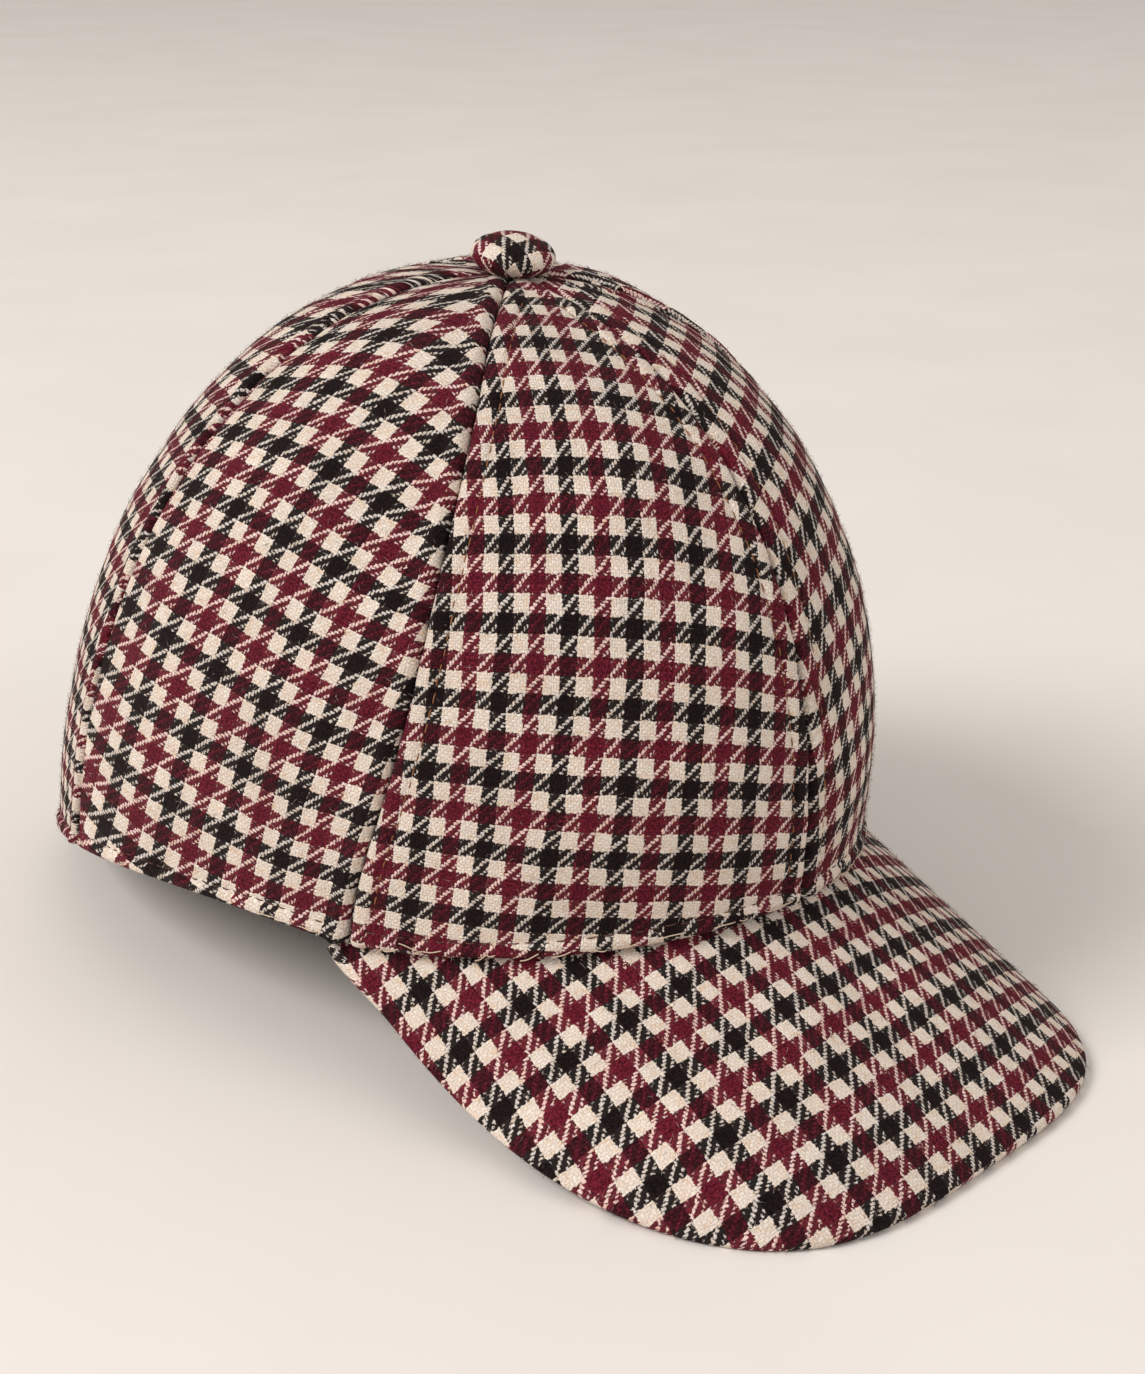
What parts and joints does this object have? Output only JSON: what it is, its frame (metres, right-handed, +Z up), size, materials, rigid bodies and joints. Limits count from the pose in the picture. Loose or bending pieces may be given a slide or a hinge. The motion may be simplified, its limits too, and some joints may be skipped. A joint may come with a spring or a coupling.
{
  "type": "checked six-panel peaked cap",
  "caption": "Checked wool cap: six sewn crown panels, a covered button on top and one curved, stiffened front peak; open underneath for the head.",
  "frame": {"origin": "middle of the cap's box, on the floor it stands on", "axes": "+Z up, the peak points to -Y, the wearer's right side is -X"},
  "size_m": [0.149, 0.2568, 0.1531],
  "materials": {
    "panel_cloth": "wool twill in a two-colour check of burgundy and black on cream",
    "peak_cloth": "the same wool twill stretched over a stiff board",
    "button_cloth": "the same wool twill wrapped round a button"
  },
  "bodies": {
    "root": {"front_panel_right": "panel_cloth", "side_panel_right": "panel_cloth", "back_panel_right": "panel_cloth", "front_panel_left": "panel_cloth", "side_panel_left": "panel_cloth", "back_panel_left": "panel_cloth", "peak": "peak_cloth", "top_button": "button_cloth"}
  },
  "joints": []
}
